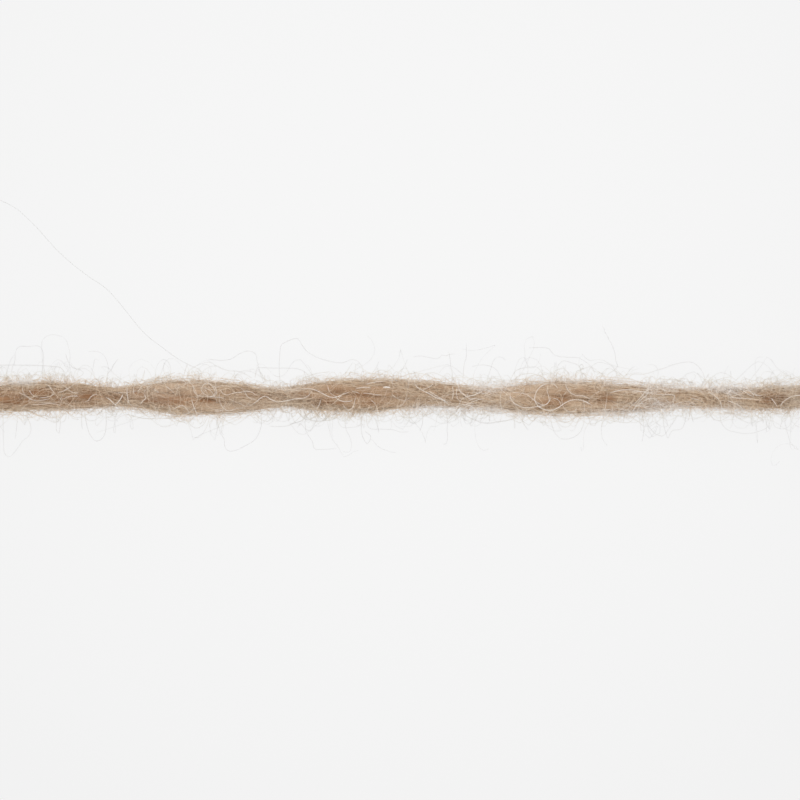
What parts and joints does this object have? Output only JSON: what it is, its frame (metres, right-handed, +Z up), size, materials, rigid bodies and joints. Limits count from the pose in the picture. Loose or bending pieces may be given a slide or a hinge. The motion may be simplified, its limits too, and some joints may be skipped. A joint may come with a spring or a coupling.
{
  "type": "cashmere lace yarn strand",
  "caption": "Cut length of soft two-ply cashmere lace yarn, lying loose and nearly straight, its plies twisted together, with a fine fuzzy halo.",
  "frame": {"origin": "on the surface that the strand lies on, under the middle of its box", "axes": "+X along the strand, +Z up from the surface, +Y across the strand"},
  "size_m": [0.0322, 0.003, 0.0009],
  "materials": {
    "yarn": "soft matt undyed-looking beige cashmere, fine fibres along the plies and a pale halo of loose fibres"
  },
  "bodies": {
    "root": {"strand": "yarn"}
  },
  "joints": []
}
